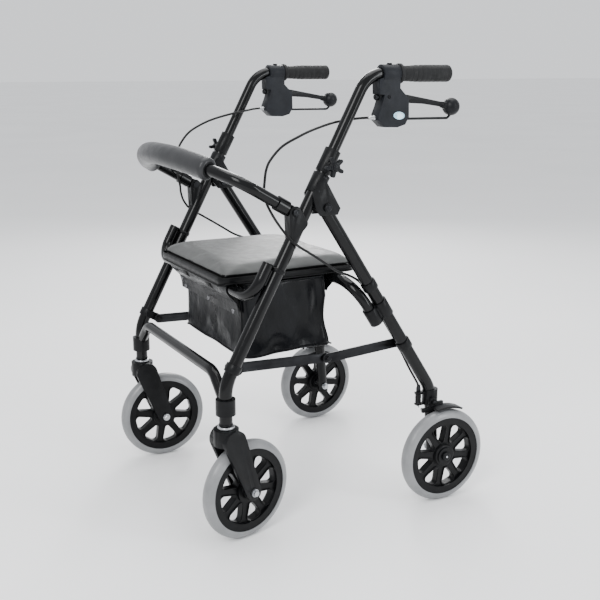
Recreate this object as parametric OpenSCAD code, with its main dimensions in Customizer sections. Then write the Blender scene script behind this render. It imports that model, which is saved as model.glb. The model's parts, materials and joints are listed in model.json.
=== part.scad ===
// Folding four-wheeled rollator walker with seat, bag, backrest bar and loop brakes.
// Millimetres, +Z up, -Y is the walking direction, origin under the middle of the bounding box.

/* [Frame] */
// Distance from the middle plane to each leg
leg_x = 238; // [225:1:250]
// Outside diameter of the leg tubes
leg_od = 25.4; // [25:0.1:26]
// Lean of the front legs above the horizontal, in degrees
front_lean = 61.8; // [61:0.1:62.5]
// Slope of the rear legs below the horizontal, in degrees
rear_slope = 57; // [56.5:0.1:57.5]
// Height where a front leg turns from upright to leaning
front_kink_z = 320; // [315:1:325]
// Diameter of the crossbar and of both seat tubes
bar_od = 22; // [20:0.5:22]

/* [Handles] */
// Height of the middle of the grips
grip_z = 885; // [880:1:895]
// Rear end of the grips, behind the caster stems
grip_end_y = 489; // [485:1:495]
// Outside diameter of the handle tubes
handle_od = 22.2; // [22:0.1:22.2]
// Outside diameter of the grips
grip_od = 33; // [30:0.5:34]

/* [Wheels] */
// Radius of all the wheels
wheel_r = 100; // [99:0.5:100]
// Width of the tyres
tyre_w = 28; // [26:0.5:28]
// Spokes in each wheel
spokes = 8; // [6:1:8]
// Distance that a front wheel trails behind its stem
trail = 45; // [44:0.5:46]
// Turn of the left caster at rest, in degrees
left_swivel = 13; // [0:1:15]
// Turn of the right caster at rest, in degrees
right_swivel = 2; // [0:1:5]
// Middle plane of the rear wheels
rear_wheel_x = 273.5; // [273:0.5:276]
// Rear axle, behind the caster stems
rear_axle_y = 481; // [479:1:483]

/* [Seat and bag] */
// Width of the seat
seat_w = 330; // [300:5:340]
// Depth of the seat
seat_d = 302; // [290:1:302]
// Underside of the seat board
seat_z = 495; // [495:1:498]
// Thickness of the seat cushion
cushion_h = 20; // [15:1:24]
// Width of the bag
bag_w = 310; // [280:5:320]
// Depth of the bag
bag_d = 192; // [180:1:194]

/* [Backrest] */
// Rise of the backrest arms towards the front, in degrees
arm_rise = 30; // [28:1:32]
// Reach of the backrest bar from its hinge bolts
arm_reach = 188; // [185:1:190]
// Diameter of the foam sleeve
foam_od = 44; // [40:1:46]
// Sideways slip of the foam sleeve along the bar
foam_slip = -45; // [-50:1:0]

/* [Hidden] */
$fn = 64;

// Every place below is measured behind the caster stems; the whole walker is moved by this much
stem_y = -262;

wall = 1.5;
leg_r = leg_od / 2;
bar_r = bar_od / 2;
pin_gap = 0.05;
slide_gap = 0.1;
leg_bore = handle_od + 2 * slide_gap;

// Front leg line, as a distance along the leg from its kink
function front_at(run) = [run * cos(front_lean), front_kink_z + run * sin(front_lean)];
leg_foot_z = 243;
front_leg_top = 480;
kink_bend = 100;

// Rear leg line, from the fold hinge down to the axle
hinge = [207.8, 642];
function rear_at(run) = hinge + run * [cos(rear_slope), -sin(rear_slope)];
rear_leg_head = -6;
rear_kink_run = 481.7;
rear_leg_foot_z = 84;
rear_bend = 90;
hinge_pin_r = 4;

// Handle tube
grip_run = (grip_z - front_kink_z) / sin(front_lean);
handle_inset = 340;
handle_bend = 58;
collar_run = 452;
collar_top = 484;
knob_pin_r = 3;

// Casters
fork_top_z = 236;
stem_r = 6;
stem_top_z = 300;
axle_r = 5;
fork_gap = 18;
fork_wall = 9;

// Wheel sections
rim_r = 84;
web_r = 69;
hub_r = 26;
web_w = 12;
rim_w = 24;
front_hub_w = 34;

// Seat tubes lean with the legs; the seat turns about the front one
seat_pivot = [57.4, 480];
seat_tube_bend = 40;
boss_run = 256;
rear_corner_run = 172.4;
rear_tube_off = 26.4 * [-sin(rear_slope), -cos(rear_slope)];
rear_tube_corner = rear_at(rear_corner_run) + rear_tube_off;
rear_tube_bend = 55;
seat_front_y = 28;

// Backrest
back_pivot = [141.5, 636.9];
backrest_x = 241;
arm_corner = 54;
foam_half = 218;

// Folding braces
brace_front_pin = [34, 341];
brace_rear_pin = [400, 343];
brace_knuckle = [233, 333];
brace_w = 20;
brace_t = 4;
front_brace_x = 206;
rear_brace_x = 212;

// Brakes
lever_pivot = [362, 838];
lever_ball = [498, 821];
lever_slot = 9.6;
shoe_pivot = [462, 216];
shoe_gap = 5;
cable_d = 5;
cable_sides = 8;

// Left brake cable: from the housing, round the backrest bar, over the front leg, inside the rear
// leg and down to the brake bracket. Hand-chosen round points.
cable_route = [[238, 319.6, 804], [237, 306, 804], [231, 289, 803], [224, 272, 801],
  [221, 252, 798], [222, 230, 794], [227, 191, 784],
  [229, 161, 773], [226, 128, 756], [223, 106, 733], [221, 98, 716], [220, 95, 697],
  [219, 94, 675], [221, 97, 655], [228, 103, 637], [240, 109, 620], [252, 119, 601],
  [258, 131, 585], [259, 147, 573], [257, 168, 560], [252, 192, 545], [246, 215, 530],
  [238, 240, 514], [228, 274, 500], [218, 303, 483], [210, 328, 456], [206, 352, 420],
  [204, 380, 378], [203, 402, 345], [206, 420, 312], [216, 428, 288], [228, 435, 267],
  [236, 439.5, 253], [238, 441, 244.2]];

/* Helpers */

// Draws its children behind the caster stems, at the left side or mirrored to the right
module side(hand) {
  translate([0, stem_y, 0]) if (hand > 0) children(); else mirror([1, 0, 0]) children();
}
module both_sides() { side(1) children(); side(-1) children(); }

// Turns a flat drawing in X and Y into one in the walker's Y and Z, at the given x
module side_view(x) { translate([x, 0, 0]) rotate([90, 0, 90]) children(); }

// A plate with the given outline in side view, t thick, from x outwards
module side_plate(x, t) { side_view(x) linear_extrude(t) children(); }

// A pin or disc across the walker, from x to x + len, at a side-view point
module cross_pin(x, p, r, len) {
  translate([x, p.x, p.y]) rotate([0, 90, 0]) cylinder(r = r, h = len);
}

function unit(v) = v / norm(v);
function heading(v) = atan2(v.y, v.x);
function turn_at(p, i) =
  let (d = heading(p[i + 1] - p[i]) - heading(p[i] - p[i - 1]))
  d > 180 ? d - 360 : d < -180 ? d + 360 : d;
function setback(p, bends, i) = bends[i] * tan(abs(turn_at(p, i)) / 2);

// A ring outline; a bore_r of 0 makes it a full disc
module ring(r, bore_r) {
  difference() {
    circle(r = r);
    if (bore_r > 0) circle(r = bore_r);
  }
}

// A hair-thin collar along X that closes the joint between a straight run and a bend
joint_skin = 0.05;
joint_w = 0.4;
module joint(r, bore_r) {
  rotate([0, 90, 0]) translate([0, 0, -joint_w / 2]) linear_extrude(joint_w)
    ring(r + joint_skin, bore_r > 0 ? bore_r - joint_skin : 0);
}

// A round tube in the plane z = 0 that follows straight runs with a bend at each inner point
module bent_tube(p, bends, r, bore_r = 0) {
  last = len(p) - 1;
  for (i = [0 : last - 1]) {
    way = unit(p[i + 1] - p[i]);
    start = i == 0 ? 0 : setback(p, bends, i);
    stop = i == last - 1 ? 0 : setback(p, bends, i + 1);
    run = norm(p[i + 1] - p[i]) - start - stop;
    translate([p[i].x + way.x * start, p[i].y + way.y * start, 0]) rotate([0, 0, heading(way)]) {
      rotate([0, 90, 0]) linear_extrude(run) ring(r, bore_r);
      if (start > 0) joint(r, bore_r);
      if (stop > 0) translate([run, 0, 0]) joint(r, bore_r);
    }
  }
  for (i = [1 : 1 : last - 1]) {
    way = unit(p[i] - p[i - 1]);
    turn = turn_at(p, i);
    hand = turn > 0 ? 1 : -1;
    base = p[i] - way * setback(p, bends, i);
    middle = base + hand * bends[i] * [-way.y, way.x];
    translate([middle.x, middle.y, 0])
      rotate([0, 0, heading(way) - hand * 90 - (hand < 0 ? abs(turn) : 0)])
        rotate_extrude(angle = abs(turn)) translate([bends[i], 0]) ring(r, bore_r);
  }
}

// Points round an arc
function arc(c, r, from, to, steps) =
  [for (i = [0 : steps]) let (a = from + (to - from) * i / steps) c + r * [cos(a), sin(a)]];

// A straight tube or ring along the front or rear leg line, in side view at x
module along(x, from, to) {
  translate([x, from.x, from.y]) rotate([-heading_up(to - from), 0, 0]) children();
}
function heading_up(v) = atan2(v.x, v.y);
module leg_sleeve(x, from, to, r, bore_r) {
  along(x, from, to) difference() {
    cylinder(r = r, h = norm(to - from));
    translate([0, 0, -1]) cylinder(r = bore_r, h = norm(to - from) + 2);
  }
}
module leg_solid(x, from, to, r) { along(x, from, to) cylinder(r = r, h = norm(to - from)); }

// A flat plate with rounded corners, exact arcs
module rounded_plate(w, d, corner, h) {
  linear_extrude(h) {
    square([w - 2 * corner, d], center = true);
    square([w, d - 2 * corner], center = true);
    for (sx = [-1, 1], sy = [-1, 1])
      translate([sx * (w / 2 - corner), sy * (d / 2 - corner)]) circle(r = corner);
  }
}

/* Front frame */

front_leg_path = [[0, leg_foot_z], [0, front_kink_z], front_at(front_leg_top)];
module front_leg(hand) {
  color("#1b1b1d") side(hand) side_view(leg_x)
    bent_tube(front_leg_path, [0, kink_bend, 0], leg_r, leg_bore / 2);
}
module front_leg_core() { side_view(leg_x) bent_tube(front_leg_path, [0, kink_bend, 0], leg_r); }

crossbar_z = 334;
crossbar_end_z = 283;
crossbar_knee = 55;
crossbar_bend = 45;
module crossbar_shape(bore_r) {
  knee = leg_x - crossbar_knee;
  rotate([90, 0, 0])
    bent_tube([[-leg_x, crossbar_end_z], [-knee, crossbar_z], [knee, crossbar_z],
      [leg_x, crossbar_end_z]], [0, crossbar_bend, crossbar_bend, 0], bar_r, bore_r);
}
module front_crossbar() {
  color("#1b1b1d") translate([0, stem_y, 0]) difference() {
    crossbar_shape(bar_r - wall);
    for (s = [-1, 1]) mirror([s < 0 ? 1 : 0, 0, 0]) front_leg_core();
  }
}

// A U-shaped tube lying in a plane that leans with a leg: arms of the given length up from the
// corners, and the crossbar through the given side-view point
module seat_u(p, lean, arms, bend) {
  translate([0, p.x, p.y]) rotate([lean, 0, 0])
    bent_tube([[-leg_x, arms], [-leg_x, 0], [leg_x, 0], [leg_x, arms]],
      [0, bend, bend, 0], bar_r, bar_r - wall);
}
front_u_arm = 71;
weld_run = [48, 30];
module seat_front_tube() {
  color("#1b1b1d") translate([0, stem_y, 0]) {
    seat_u(seat_pivot, front_lean, front_u_arm, seat_tube_bend);
    for (s = [-1, 1]) difference() {
      translate([s * leg_x, seat_pivot.x, seat_pivot.y]) rotate([front_lean, 0, 0])
        translate([0, weld_run[0], -13]) cube([8, weld_run[1], 12], center = true);
      mirror([s < 0 ? 1 : 0, 0, 0]) front_leg_core();
      translate([0, seat_pivot.x, seat_pivot.y]) rotate([front_lean, 0, 0])
        translate([s * leg_x, 0, 0]) rotate([-90, 0, 0]) cylinder(r = bar_r - 0.5, h = 90);
    }
  }
}

// Bracket behind a front leg that holds the rear leg between two cheeks
cheek_gap = 13.4;
cheek_t = 4;
sleeve_r = 16.5;
module hinge_bracket(hand) {
  cheek = [[176, 668], [190, 694], [201, 699], [209, 685], [236, 639], [230, 627], [193, 627],
    [183, 640]];
  color("#222224") side(hand) difference() {
    union() {
      leg_sleeve(leg_x, front_at(396), front_at(434), sleeve_r, leg_r);
      for (x = [leg_x - cheek_gap - cheek_t, leg_x + cheek_gap])
        side_plate(x, cheek_t) polygon(cheek);
    }
    leg_solid(leg_x, front_at(380), front_at(450), leg_r);
    cross_pin(leg_x - 30, hinge, hinge_pin_r, 60);
  }
}
module hinge_bolts() {
  reach = cheek_gap + cheek_t;
  color("#2a2a2c") both_sides() {
    cross_pin(leg_x - reach - 4, hinge, hinge_pin_r, 2 * reach + 8);
    cross_pin(leg_x + reach, hinge, 8, 4);
    cross_pin(leg_x - reach - 4, hinge, 8, 4);
  }
}

// Bracket in front of a front leg with two ears for the backrest socket
ear_gap = 7;
ear_t = 5;
back_pin_r = 4;
socket_eye_r = 11;
module backrest_bracket(hand) {
  color("#222224") side(hand) difference() {
    side_view(backrest_x - ear_gap - ear_t) linear_extrude(2 * (ear_gap + ear_t)) hull() {
      translate(back_pivot) circle(r = 12, $fn = 32);
      translate(front_at(335)) circle(r = 9, $fn = 32);
      translate(front_at(302) - [6, 0]) circle(r = 5, $fn = 32);
    }
    leg_solid(leg_x, front_at(270), front_at(370), leg_r);
    translate([backrest_x - ear_gap, 0, 0]) side_plate(0, 2 * ear_gap) {
      translate(back_pivot) circle(r = 13.5);
      translate(back_pivot) rotate(180 - arm_rise - 60) square([30, 26]);
    }
    cross_pin(backrest_x - 20, back_pivot, back_pin_r, 40);
  }
}
module backrest_bolts() {
  reach = ear_gap + ear_t;
  color("#2a2a2c") both_sides() {
    cross_pin(backrest_x - reach - 3, back_pivot, back_pin_r, 2 * reach + 6);
    cross_pin(backrest_x + reach, back_pivot, 6.5, 3);
    cross_pin(backrest_x - reach - 3, back_pivot, 6.5, 3);
  }
}

// Clamp at the top of a front leg
module height_collar(hand) {
  color("#222224") side(hand) difference() {
    union() {
      leg_solid(leg_x, front_at(438), front_at(collar_top), 15.5);
      cross_pin(leg_x, front_at(collar_run), 9, 25);
    }
    leg_solid(leg_x, front_at(430), front_at(front_leg_top), leg_r);
    leg_solid(leg_x, front_at(430), front_at(collar_top + 1), leg_bore / 2);
    cross_pin(leg_x, front_at(collar_run), knob_pin_r + pin_gap, 30);
  }
}

// Star knob that clamps the handle tube
knob_x = 265;
knob_arms = 5;
module star_knob(hand) {
  color("#3a3c40") side(hand) {
    cross_pin(251.5, front_at(collar_run), knob_pin_r, knob_x - 251);
    cross_pin(knob_x, front_at(collar_run), 9, 10);
    side_plate(knob_x + 1, 8) translate(front_at(collar_run)) for (k = [0 : knob_arms - 1])
      rotate(k * 360 / knob_arms + 40) {
        translate([0, -3.5]) square([16, 7]);
        translate([16, 0]) circle(r = 3.5);
      }
  }
}

// Ring at the foot of a front leg, and the bush inside it that the caster stem turns in
module caster_collars() {
  color("#2a2a2c") both_sides() {
    difference() {
      translate([leg_x, 0, 264]) cylinder(r = 19, h = 31);
      translate([leg_x, 0, 260]) cylinder(r = leg_r, h = 40);
      crossbar_shape(0);
    }
    translate([leg_x, 0, leg_foot_z]) difference() {
      cylinder(r = leg_bore / 2, h = 45);
      translate([0, 0, -1]) cylinder(r = stem_r + pin_gap, h = 60);
    }
  }
}

/* Casters: drawn trailing straight back, then turned about the stem */

module caster(hand) {
  turn = hand > 0 ? left_swivel : right_swivel;
  side(hand) translate([leg_x, 0, 0]) rotate([0, 0, turn]) children();
}
module caster_stem(hand) {
  color("#8d9096") caster(hand) {
    translate([0, 0, 205]) cylinder(r = stem_r, h = stem_top_z - 205);
    translate([0, 0, fork_top_z]) cylinder(r = 10, h = leg_foot_z - fork_top_z - 0.5);
    translate([0, 0, stem_top_z - 8]) cylinder(r = 9, h = 6, $fn = 6);
  }
}
module fork_outline() {
  hull() {
    translate([4, 212]) circle(r = 24, $fn = 32);
    translate([trail, wheel_r]) circle(r = 17, $fn = 32);
  }
}
module caster_fork(hand) {
  outer = fork_gap + fork_wall;
  color("#2b2c2f") caster(hand) difference() {
    union() {
      side_plate(-outer, fork_wall) fork_outline();
      side_plate(fork_gap, fork_wall) fork_outline();
      translate([0, 0, 204]) cylinder(r = 24.5, h = fork_top_z - 204);
      side_plate(-outer, 2 * outer) translate([4, 212]) intersection() {
        circle(r = 24, $fn = 32);
        translate([-24, -7]) square([48, 31]);
      }
    }
    translate([0, 0, 200]) cylinder(r = stem_r, h = 40);
    cross_pin(-40, [trail, wheel_r], axle_r, 80);
  }
}
module front_axle(hand) {
  outer = fork_gap + fork_wall;
  color("#6f7277") caster(hand) {
    cross_pin(-outer, [trail, wheel_r], axle_r, 2 * outer);
    cross_pin(outer, [trail, wheel_r], 8, 3.5);
    cross_pin(-outer - 3.5, [trail, wheel_r], 8, 3.5);
  }
}

/* Wheels: drawn with the axle along X through the origin */

// Outline of a window between two spokes, wide and round outside, narrow at the hub
function window_outline() =
  concat(arc([59, 8], 8, 0, 113, 5), arc([35, 0], 5, 113, 247, 5), arc([59, -8], 8, 247, 360, 5));
module wheel_turned() { rotate([0, 90, 0]) children(); }
module rim(hub_w) {
  wheel_turned() difference() {
    union() {
      rotate_extrude($fn = 96) {
        translate([web_r, -rim_w / 2]) square([rim_r - web_r, rim_w]);
        translate([0, -web_w / 2]) square([web_r + 1, web_w]);
        translate([0, -hub_w / 2]) square([hub_r - 8, hub_w]);
        translate([0, -hub_w / 2 + 6]) square([hub_r, hub_w - 12]);
      }
    }
    translate([0, 0, -40]) cylinder(r = axle_r + pin_gap, h = 80);
    for (k = [0 : spokes - 1])
      rotate([0, 0, (k + 0.28) * 360 / spokes]) translate([0, 0, -20])
        linear_extrude(40) polygon(window_outline());
  }
}
module tyre() {
  wheel_turned() rotate_extrude($fn = 96) intersection() {
    translate([wheel_r - tyre_w / 2, 0]) circle(r = tyre_w / 2);
    translate([rim_r, -tyre_w / 2]) square([wheel_r - rim_r, tyre_w]);
  }
}
module front_rim(hand) {
  color("#202124") caster(hand) translate([0, trail, wheel_r]) rim(front_hub_w);
}
module front_tyre(hand) { color("#b4b5b6") caster(hand) translate([0, trail, wheel_r]) tyre(); }
module rear_rim(hand) {
  color("#202124") side(hand) translate([rear_wheel_x, rear_axle_y, wheel_r]) rim(rim_w + 4);
}
module rear_tyre(hand) {
  color("#b4b5b6") side(hand) translate([rear_wheel_x, rear_axle_y, wheel_r]) tyre();
}

/* Rear frame */

rear_leg_path = [rear_at(rear_leg_head), rear_at(rear_kink_run),
  [rear_axle_y + 1.3, rear_leg_foot_z]];
module rear_leg(hand) {
  color("#1b1b1d") side(hand) difference() {
    side_view(leg_x) bent_tube(rear_leg_path, [0, rear_bend, 0], leg_r, leg_r - wall);
    cross_pin(leg_x - 20, hinge, hinge_pin_r + pin_gap, 40);
    cross_pin(leg_x - 20, [rear_axle_y, wheel_r], axle_r, 40);
  }
}
module rear_axles() {
  hub_end = rear_wheel_x + rim_w / 2 + 2;
  color("#6f7277") both_sides() {
    cross_pin(leg_x - leg_r - 4, [rear_axle_y, wheel_r], axle_r, hub_end + 4 - leg_x + leg_r + 4);
    cross_pin(leg_x - leg_r - 4, [rear_axle_y, wheel_r], 8, 3.5);
    cross_pin(leg_x + leg_r + 0.4, [rear_axle_y, wheel_r], 8, 7.5);
    cross_pin(hub_end + 0.4, [rear_axle_y, wheel_r], 8, 4);
  }
}

rear_u_arm = boss_run + 12 - rear_corner_run;
module seat_rear_tube() {
  color("#1b1b1d") translate([0, stem_y, 0])
    seat_u(rear_tube_corner, -rear_slope, rear_u_arm, rear_tube_bend);
}

// Boss on a rear leg that the arm of the rear seat tube plugs into
module rear_seat_brackets() {
  away = rear_tube_off;
  color("#222224") both_sides() difference() {
    union() {
      leg_solid(leg_x, rear_at(boss_run - 20), rear_at(boss_run + 16), 15.5);
      leg_solid(leg_x, rear_at(boss_run - 20) + away, rear_at(boss_run + 16) + away, 14);
      leg_solid(leg_x, rear_at(boss_run - 14) + away / 2, rear_at(boss_run + 10) + away / 2, 9);
    }
    leg_solid(leg_x, rear_at(boss_run - 40), rear_at(boss_run + 40), leg_r);
    leg_solid(leg_x, rear_at(boss_run - 40) + away, rear_at(boss_run + 12) + away, bar_r);
  }
}
module stop_collars() {
  color("#222224") both_sides()
    leg_sleeve(leg_x, rear_at(186), rear_at(204), 15.5, leg_r);
}

/* Folding braces, in two planes inside the legs */

function brace_way(a, b) = heading(b - a);
module brace_bar(x, a, b) {
  run = norm(b - a);
  side_plate(x, brace_t) translate(a) rotate(brace_way(a, b)) {
    translate([0, -brace_w / 2]) square([run, brace_w]);
    circle(r = brace_w / 2);
    translate([run, 0]) circle(r = brace_w / 2);
  }
}
brace_pin_r = 3;
module front_braces() {
  color("#242426") both_sides() {
    difference() {
      brace_bar(front_brace_x, brace_front_pin, brace_knuckle);
      cross_pin(front_brace_x - 1, brace_front_pin, brace_pin_r + pin_gap, 10);
    }
    cross_pin(front_brace_x - 3, brace_knuckle, 6, 3);
  }
}
module rear_braces() {
  color("#242426") both_sides() {
    difference() {
      brace_bar(rear_brace_x, brace_knuckle, brace_rear_pin);
      cross_pin(rear_brace_x - 1, brace_rear_pin, brace_pin_r + pin_gap, 10);
    }
    cross_pin(rear_brace_x + brace_t, brace_knuckle, 6, 3);
  }
}
lug_x = 218;
module front_brace_lugs() {
  ring_run = 34.6;
  color("#2a2a2c") both_sides() {
    difference() {
      union() {
        leg_solid(leg_x, front_at(27), front_at(43), 15.5);
        side_plate(lug_x, 8) hull() {
          translate(brace_front_pin) circle(r = 9, $fn = 32);
          translate(front_at(ring_run)) circle(r = 8, $fn = 32);
        }
      }
      front_leg_core();
    }
    cross_pin(front_brace_x - 2, brace_front_pin, brace_pin_r, lug_x - front_brace_x + 2);
    cross_pin(front_brace_x - 4, brace_front_pin, 6, 3);
    cross_pin(front_brace_x + brace_t + 1, brace_front_pin, 5, lug_x - front_brace_x - brace_t - 1);
  }
}
module rear_brace_lugs() {
  at = (brace_rear_pin.x - hinge.x) / cos(rear_slope);
  color("#2a2a2c") both_sides() {
    difference() {
      union() {
        leg_solid(leg_x, rear_at(at - 9), rear_at(at + 9), 15.5);
        cross_pin(rear_brace_x + brace_t + 1, brace_rear_pin, 7, 16);
      }
      leg_solid(leg_x, rear_at(at - 30), rear_at(at + 30), leg_r);
    }
    cross_pin(rear_brace_x - 2, brace_rear_pin, brace_pin_r, 8);
    cross_pin(rear_brace_x - 3.5, brace_rear_pin, 6, 3);
  }
}

/* Handles and brakes */

handle_path = [front_at(handle_inset), front_at(grip_run), [grip_end_y - 4, grip_z]];
module handle_tube(hand) {
  color("#1b1b1d") side(hand) side_view(leg_x)
    bent_tube(handle_path, [0, handle_bend, 0], handle_od / 2, handle_od / 2 - wall);
}
grip_start_y = 369;
module grip(hand) {
  long = grip_end_y - grip_start_y;
  r = grip_od / 2;
  color("#232325") side(hand) translate([leg_x, grip_start_y, grip_z]) rotate([-90, 0, 0])
    rotate_extrude() difference() {
      union() {
        square([19, 7]);
        square([14.5, long - 2]);
        translate([0, 12]) square([r, long - 12 - 4]);
        translate([0, long - 4]) square([r - 4, 4]);
        intersection() {
          translate([r - 4, long - 4]) circle(r = 4);
          translate([0, long - 4]) square([r, 4]);
        }
      }
      translate([-1, -1]) square([handle_od / 2 + 1, long - 3]);
    }
}

// Brake housing: a collar on the handle tube and a hollow body below it
housing_outline = [[331, 899], [368, 899], [368, 858], [388, 838], [389, 804], [381, 790],
  [363, 785], [334, 786], [320, 799], [320, 810], [326, 824], [333, 846], [322, 847], [321, 874],
  [331, 878]];
housing_t = 26;
lever_pin_r = 3;
module brake_housing(hand) {
  color("#2b2c2f") side(hand) difference() {
    union() {
      side_plate(leg_x - housing_t / 2, housing_t) difference() {
        polygon(housing_outline);
        translate([320, 880]) square([60, 30]);
      }
      translate([leg_x, 331, grip_z]) rotate([-90, 0, 0]) cylinder(r = 17, h = 37);
    }
    side_view(leg_x) bent_tube(handle_path, [0, handle_bend, 0], handle_od / 2);
    translate([leg_x - lever_slot / 2, 347, 776]) cube([lever_slot, 60, 76]);
    cross_pin(leg_x - 7, lever_pivot, lever_pin_r, 14);
  }
  color("#2b2c2f") side(hand)
    cross_pin(leg_x - lever_slot / 2 - 4, lever_pivot, lever_pin_r, lever_slot + 8);
}

lever_t = 9;
loop_r = 2.5;
module lever_bar() {
  polygon([[366, 849.8], [482, 829], [482, 820], [430, 827.5], [388, 830], [372, 820], [356, 827]]);
}
module brake_lever(hand) {
  loop = [[372, 826], [391, 800], [489, 799], [497, 806]];
  color("#2b2c2f") side(hand) {
    difference() {
      side_plate(leg_x - lever_t / 2, lever_t) difference() {
        union() {
          translate(lever_pivot) circle(r = 12.5);
          lever_bar();
        }
        translate(lever_ball) circle(r = 15);
      }
      cross_pin(leg_x - 10, lever_pivot, lever_pin_r + pin_gap, 20);
    }
    difference() {
      side_view(leg_x) bent_tube(loop, [0, 9, 6, 0], loop_r);
      translate([leg_x, lever_ball.x, lever_ball.y]) sphere(r = knob_ball_r);
    }
  }
}
knob_ball_r = 17.5;
module lever_knob(hand) {
  color("#26272a") side(hand) difference() {
    translate([leg_x, lever_ball.x, lever_ball.y]) sphere(r = knob_ball_r);
    side_plate(leg_x - lever_t / 2, lever_t) difference() {
      lever_bar();
      translate(lever_ball) circle(r = 15);
    }
  }
}

// Bracket on a rear leg that holds the cable end and the pivot of the shoe
spring_y = 441;
module brake_brackets() {
  color("#222224") both_sides() {
    difference() {
      union() {
        translate([leg_x, 471, 204]) cylinder(r = 16.5, h = 34);
        translate([leg_x - 6, spring_y - 6, 230]) cube([12, 26, 4]);
        translate([leg_x - 6, spring_y - 6, 206]) cube([12, 26, 3]);
      }
      side_view(leg_x) bent_tube(rear_leg_path, [0, rear_bend, 0], leg_r);
      translate([leg_x, spring_y, 200]) cylinder(r = 2, h = 50);
    }
    translate([leg_x, spring_y, 234]) difference() {
      cylinder(r = 4.5, h = 9);
      translate([0, 0, -1]) cylinder(r = 2, h = 11);
    }
    cross_pin(leg_x + 15.6, shoe_pivot, 4, 15);
  }
}
module brake_springs() {
  color("#1c1c1d") both_sides() translate([leg_x, spring_y, 209]) difference() {
    cylinder(r = 4.5, h = 21);
    translate([0, 0, -1]) cylinder(r = 1.6, h = 30);
  }
}
// Curved shoe over the tyre, with its arm forward to the cable
module brake_shoe(hand) {
  shoe_in = wheel_r + shoe_gap;
  color("#222224") side(hand) {
    difference() {
      union() {
        translate([leg_x + 22, rear_axle_y, wheel_r]) wheel_turned() rotate([0, 0, 158])
          rotate_extrude(angle = 34, $fn = 128) translate([shoe_in, 0]) square([4, 27]);
        side_plate(leg_x + 19, 6) {
          translate(shoe_pivot) circle(r = 9);
          translate([436, 196]) square([28, 9]);
          translate([452, 200]) square([14, 12]);
          translate([462, 207]) square([26, 8]);
        }
      }
      cross_pin(leg_x + 10, shoe_pivot, 4 + pin_gap, 30);
    }
  }
}

// A round cord through the given points
function cord_tangent(p, i) =
  i == 0 ? unit(p[1] - p[0])
  : i == len(p) - 1 ? unit(p[i] - p[i - 1]) : unit(p[i + 1] - p[i - 1]);
module cord(p, d, sides) {
  n = len(p);
  rings = [for (i = [0 : n - 1])
    let (t = cord_tangent(p, i), u = unit(cross(t, [1, 0, 0])), v = cross(t, u))
    for (k = [0 : sides - 1])
      p[i] + d / 2 * (cos(k * 360 / sides) * u + sin(k * 360 / sides) * v)];
  walls = [for (i = [0 : n - 2], k = [0 : sides - 1])
    let (a = i * sides + k, b = i * sides + (k + 1) % sides)
    [a, a + sides, b + sides, b]];
  ends = [[for (k = [0 : sides - 1]) k], [for (k = [sides - 1 : -1 : 0]) (n - 1) * sides + k]];
  polyhedron(points = rings, faces = concat(walls, ends), convexity = 8);
}
module brake_cable(hand) { color("#151516") side(hand) cord(cable_route, cable_d, cable_sides); }

/* Backrest */

// The bar in its own plane: x across, y outwards from the hinge bolts
module backrest_plane() {
  translate([0, stem_y + back_pivot.x, back_pivot.y]) rotate([-arm_rise, 0, 0])
    mirror([0, 1, 0]) children();
}
corner_turn = 62;
bow_turn = 90 - corner_turn;
joint_run = 2;
socket_stop = 26;
bow_r = (backrest_x / cos(bow_turn) - arm_corner * tan(corner_turn / 2) - joint_run)
  / tan(bow_turn);
bow_y = arm_reach - bow_r;
bow_end = [bow_r * sin(bow_turn), bow_y + bow_r * cos(bow_turn)];
corner_y = bow_end.y - joint_run * sin(bow_turn) - arm_corner * sin(corner_turn);
bar_knee = corner_y + arm_corner * tan(corner_turn / 2);
module backrest_bar() {
  eye_w = 2 * ear_gap - 1;
  color("#1b1b1d") backrest_plane() {
    bent_tube([[-backrest_x, socket_stop], [-backrest_x, bar_knee],
      [0, bar_knee + backrest_x * tan(bow_turn)], [backrest_x, bar_knee],
      [backrest_x, socket_stop]], [0, arm_corner, bow_r, arm_corner, 0], bar_r, bar_r - wall);
    for (s = [-1, 1]) translate([s * backrest_x, 0, 0]) difference() {
      union() {
        rotate([0, 90, 0]) cylinder(r = socket_eye_r, h = eye_w, center = true);
        translate([-eye_w / 2, 0, -10]) cube([eye_w, 22, 20]);
        translate([0, 15, 0]) rotate([-90, 0, 0]) cylinder(r = 14, h = 24);
      }
      translate([0, socket_stop, 0]) rotate([-90, 0, 0]) cylinder(r = bar_r - 0.5, h = 20);
      rotate([0, 90, 0]) cylinder(r = back_pin_r + pin_gap, h = 40, center = true);
    }
  }
}

// Foam sleeve on the bow, slipped along it so that its right end reaches into the corner
module backrest_foam() {
  degrees = 180 / PI;
  foam_r = foam_od / 2;
  bore_r = bar_r + 0.3;
  left_turn = (foam_half + foam_slip) / bow_r * degrees;
  right_turn = (foam_half - foam_slip - joint_run - bow_turn / degrees * bow_r) / arm_corner
    * degrees;
  color("#3c3d3f") backrest_plane() {
    translate([0, bow_y, 0]) rotate([0, 0, 90 - left_turn])
      rotate_extrude(angle = left_turn + bow_turn, $fn = 128)
        translate([bow_r, 0]) ring(foam_r, bore_r);
    mirror([1, 0, 0]) {
      translate([bow_end.x, bow_end.y, 0]) rotate([0, 0, -bow_turn]) {
        rotate([0, 90, 0]) linear_extrude(joint_run) ring(foam_r, bore_r);
        joint(foam_r, bore_r);
        translate([joint_run, 0, 0]) joint(foam_r, bore_r);
      }
      translate([backrest_x - arm_corner, corner_y, 0]) rotate([0, 0, corner_turn - right_turn])
        rotate_extrude(angle = right_turn) translate([arm_corner, 0]) ring(foam_r, bore_r);
    }
  }
}

/* Seat and bag */

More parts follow.
